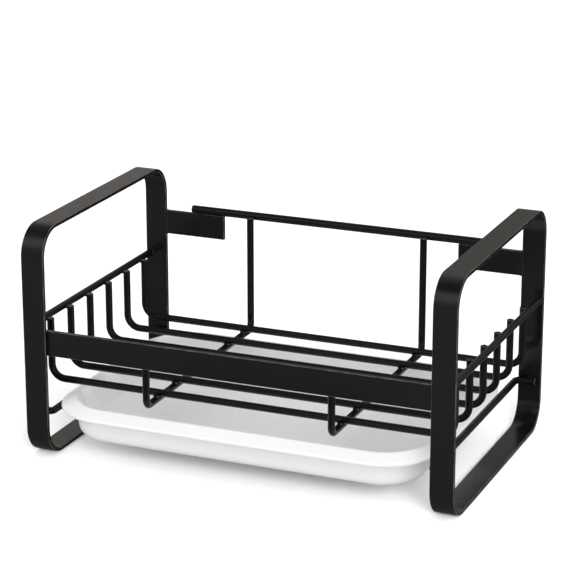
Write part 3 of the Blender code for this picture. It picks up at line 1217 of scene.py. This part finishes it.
@dataclass
class MouldedTray(SubAssembly):
    """The drip tray: a shallow dish with round corners and a lip that slopes outwards."""

    body: Body = Body.TRAY
    slot: Slot = Slot.TRAY_WHITE
    half_length: float = 0.09924
    corner_radius: float = 0.030
    corner_steps: int = 22
    corner_margin: float = 0.003
    wall: float = 0.0024
    lip_slope: float = math.radians(23)
    crest_inset: float = 0.0076
    crest_radius: float = 0.003
    inner_depth: float = 0.0164
    wall_draft: float = 0.0004
    floor_radius: float = 0.0036
    floor_run: float = 0.0012
    floor_shares: Triple = (0.3, 0.62, 0.88)
    rim_radius: float = 0.00113
    rim_band: float = 1.2
    arc_steps: int = 9
    margin: float = 0.0004

    def arc(self, centre: Pair, radius: float, start: float, end: float) -> list[Pair]:
        """Returns the points on an arc of the profile between two turns from straight up, in radians."""
        turns = [start + (end - start) * step / self.arc_steps for step in range(self.arc_steps + 1)]
        return [(centre[0] + radius * math.sin(turn), centre[1] + radius * math.cos(turn)) for turn in turns]

    def profile(self, crest_z: float) -> list[Pair]:
        """Draws the whole profile, from the inner floor over the crest and the rim to the underside.

        Args:
            crest_z: the height of the crest.

        Returns:
            The points, as inset from the rim and height.
        """
        crest = (self.crest_inset, crest_z - self.crest_radius)
        fillet_inset = self.crest_inset + self.crest_radius + self.wall_draft + self.floor_radius
        fillet = (fillet_inset, crest_z - self.inner_depth + self.floor_radius)
        slope, radius, steps = self.lip_slope, self.rim_radius, self.arc_steps // 2
        points = [(fillet[0] + self.floor_run, fillet[1] - self.floor_radius)]
        points += self.arc(fillet, self.floor_radius, -2 * QUARTER, -QUARTER)
        points += self.arc(crest, self.crest_radius, QUARTER, -slope)
        outward = Vector((-math.cos(slope), -math.sin(slope)))
        upward = Vector((-math.sin(slope), math.cos(slope)))
        leave = Vector(points[-1])
        rim = leave + outward * (leave.x / math.cos(slope))
        under = rim - upward * self.wall
        points += [tuple(leave + outward * self.margin), tuple(rim - outward * (radius + self.margin))]
        for corner, first, second in ((rim, upward, outward), (under, outward, -upward)):
            centre = corner - first * radius - second * radius
            for turn in (QUARTER * step / steps for step in range(steps + 1)):
                points.append(tuple(centre + (first * math.cos(turn) + second * math.sin(turn)) * radius))
        points.append(tuple(under - outward * (radius + self.margin)))
        points += self.arc(crest, self.crest_radius - self.wall, -slope, QUARTER)
        points += self.arc(fillet, self.floor_radius + self.wall, -QUARTER, -2 * QUARTER)
        return points + [(fillet[0] + self.floor_run, fillet[1] - self.floor_radius - self.wall)]

    def build(self) -> Iterator[Object]:
        """Builds the tray from rings that follow its profile, with smaller ones over its floor.

        Yields:
            The one piece.
        """
        box = Box.of("drip_tray")
        sizes = (2 * self.half_length, box.size.y + 2 * self.half_length - box.size.x)
        corners = (self.corner_radius, self.corner_steps, self.corner_margin)
        profile = self.profile(box.high.z)
        rows = [(*profile[0], share) for share in self.floor_shares]
        rows += [(*point, 1.0) for point in profile]
        rows += [(*profile[-1], share) for share in self.floor_shares[::-1]]
        stations = []
        for inset, height, shrink in rows:
            place, edge_mark = Vector((0, box.middle.y, height)), float(inset < self.rim_radius * self.rim_band)
            stations.append(Station(place, X_AXIS * shrink, Y_AXIS * shrink, inset, edge_mark))
        self.sweep(RoundedSection(*sizes, *corners, edge_mark=0.0), stations)
        yield self.mount("moulded_drip_tray", "drip_tray")


# Studio


def aim(name: str, data: bpy.types.ID, azimuth: float, elevation: float, distance: float) -> Object:
    """Hangs a lamp or camera round the frame's origin, looking back at it.

    Args:
        name: its name.
        data: the lamp or camera data.
        azimuth: the turn from the front to the right, in degrees.
        elevation: the rise from the floor, in degrees.
        distance: how far away it is.

    Returns:
        The object.
    """
    turn, rise = math.radians(azimuth), math.radians(elevation)
    away = Vector((math.sin(turn) * math.cos(rise), -math.cos(turn) * math.cos(rise), math.sin(rise)))
    thing = bpy.data.objects.new(name, data)
    thing.location = away * distance
    thing.rotation_euler = (-away).to_track_quat("-Z", "Y").to_euler()
    bpy.context.scene.collection.objects.link(thing)
    return thing


@dataclass(frozen=True)
class Softbox:
    """One large soft lamp that faces the caddy and isn't seen in reflections."""

    name: str
    azimuth: float
    elevation: float
    distance: float
    width: float
    height: float
    radiance: float

    def hang(self) -> Object:
        """Hangs the lamp.

        Returns:
            The lamp.
        """
        light = bpy.data.lights.new(self.name, "AREA")
        light.shape, light.size, light.size_y = "RECTANGLE", self.width, self.height
        light.energy = self.radiance * math.pi * self.width * self.height
        lamp = aim(self.name, light, self.azimuth, self.elevation, self.distance)
        lamp.visible_glossy = False
        return lamp


@dataclass
class Room(Graph):
    """Even white round the caddy, which sees a pale band in front and a low glow behind in its gloss."""

    ambient: float = 1.0
    white: Triple = (1.0, 1.0, 1.0)
    glow_tint: Triple = (1.0, 0.94, 0.87)
    band_rise: Ramp = Ramp(-0.01, 0.09, 0.27, 0.95)
    band_rise_slant: float = 0.87
    band_fall: Ramp = Ramp(0.58, 0.67, 1.0, 0.05 / 0.95)
    band_fall_slant: float = 0.37
    back_left: Ramp = Ramp(0.45, 0.90, 0.43, 0.05)
    back_right: Ramp = Ramp(0.35, 0.72, 0.25, 0.66)
    back_right_top: Ramp = Ramp(0.84, 0.98, 1.0, 0.35)
    left_to_right: Ramp = Ramp(-0.43, -0.30)
    front_to_back: Ramp = Ramp(-0.17, 0.07)

    def build(self) -> None:
        """Builds the world."""
        world = bpy.data.worlds.new("pale_room")
        bpy.context.scene.world = world
        world.use_nodes = True
        self.tree = world.node_tree
        self.tree.nodes.clear()
        direction = self.add("SeparateXYZ", {0: self.add("TexCoord").outputs["Generated"]}).outputs
        across, height = direction["X"], direction["Z"]
        front = []
        for slant, ramp in ((self.band_rise_slant, self.band_rise), (self.band_fall_slant, self.band_fall)):
            front.append(self.spread(self.math("ADD", height, self.math("MULTIPLY", across, slant)), ramp))
        right = [self.spread(height, ramp) for ramp in (self.back_right, self.back_right_top)]
        right = self.math("MULTIPLY", *right)
        back = self.fade(self.spread(across, self.left_to_right), self.spread(height, self.back_left), right)
        turn = self.spread(direction["Y"], self.front_to_back)
        level = self.fade(turn, self.math("MULTIPLY", *front), back)
        glow = self.add("Background", {"Color": self.glow_tint, "Strength": level}).outputs[0]
        plain = self.add("Background", {"Color": self.white, "Strength": self.ambient}).outputs[0]
        glossy = self.add("LightPath").outputs["Is Glossy Ray"]
        seen = self.add("MixShader", {0: glossy, 1: plain, 2: glow}).outputs[0]
        self.add("OutputWorld", {"Surface": seen})


@dataclass
class Studio:
    """The plain white floor, the soft light and the camera of the photograph's angle."""

    paper: Material
    floor_half: float = 4.0
    floor_segments: int = 16
    camera_place: Triple = (0.41875, -1.00291, 0.43044)
    azimuth: float = 22.588
    elevation: float = 17.766
    lens: float = 144.225
    sensor: float = 36.0
    clip: Pair = (0.05, 50.0)
    softboxes: tuple[Softbox, ...] = (
        Softbox("front_softbox", 5.0, 33.0, 2.0, 2.0, 1.5, 0.76),
        Softbox("overhead_softbox", 0.0, 89.0, 1.7, 3.0, 3.0, 0.16),
        Softbox("right_softbox", 75.0, 22.0, 2.0, 1.2, 1.2, 0.9),
    )
    floor_softbox: Softbox = Softbox("floor_softbox", 36.0, 25.0, 1.6, 0.6, 0.5, 23.0)

    def floor(self) -> Object:
        """Lays the floor.

        Returns:
            A wide sheet of paper.
        """
        mesh = bpy.data.meshes.new("paper_floor")
        mesh.materials.append(self.paper)
        bm = bmesh.new()
        segments = {"x_segments": self.floor_segments, "y_segments": self.floor_segments}
        bmesh.ops.create_grid(bm, size=self.floor_half, **segments)
        bm.to_mesh(mesh)
        bm.free()
        sheet = bpy.data.objects.new("paper_floor", mesh)
        bpy.context.scene.collection.objects.link(sheet)
        return sheet

    def build(self) -> None:
        """Sets up the floor, the light, with one low lamp for the floor alone, and the camera."""
        lit = bpy.data.collections.new("floor_light_receivers")
        lit.objects.link(self.floor())
        for softbox in self.softboxes:
            softbox.hang()
        self.floor_softbox.hang().light_linking.receiver_collection = lit
        Room().build()
        data = bpy.data.cameras.new("front_camera")
        data.lens, data.sensor_width = self.lens, self.sensor
        data.clip_start, data.clip_end = self.clip
        camera = aim("front_camera", data, self.azimuth, self.elevation, distance=1.0)
        camera.location = self.camera_place
        bpy.context.scene.camera = camera
        settings = bpy.context.scene.view_settings
        settings.view_transform, settings.look = "Standard", "None"


def main() -> None:
    """Builds the caddy's sub-assemblies in order and reports each piece, then sets up the studio."""
    logging.basicConfig(level=logging.INFO, format="%(name)s: %(message)s")
    strip = PowderCoat().material()
    # The wires take the same coat with a darker low colour, which is painted shade.
    wire = PowderCoat(
        name="satin_black_wire", low_colour=(0.0016, 0.0016, 0.0015), specular=0.32, patch_size=0.009,
        ripple_size=0.0014,
    ).material()
    weld = PowderCoat(
        name="satin_black_weld", smooth_roughness=0.12, rough_roughness=0.20, patch_size=0.003,
        ripple_size=0.0007, peel_depth=0.00003,
    ).material()
    white = MouldedWhite().material()
    for part in (StripLoops(strip), FlatRails(strip), Wirework(wire), Welds(weld), MouldedTray(white)):
        for piece in part.build():
            LOG.info("%s: %s, %d faces", type(part).__name__, piece.name, len(piece.data.polygons))
    Studio(PaperFloor().material()).build()


if __name__ == "__main__":
    main()
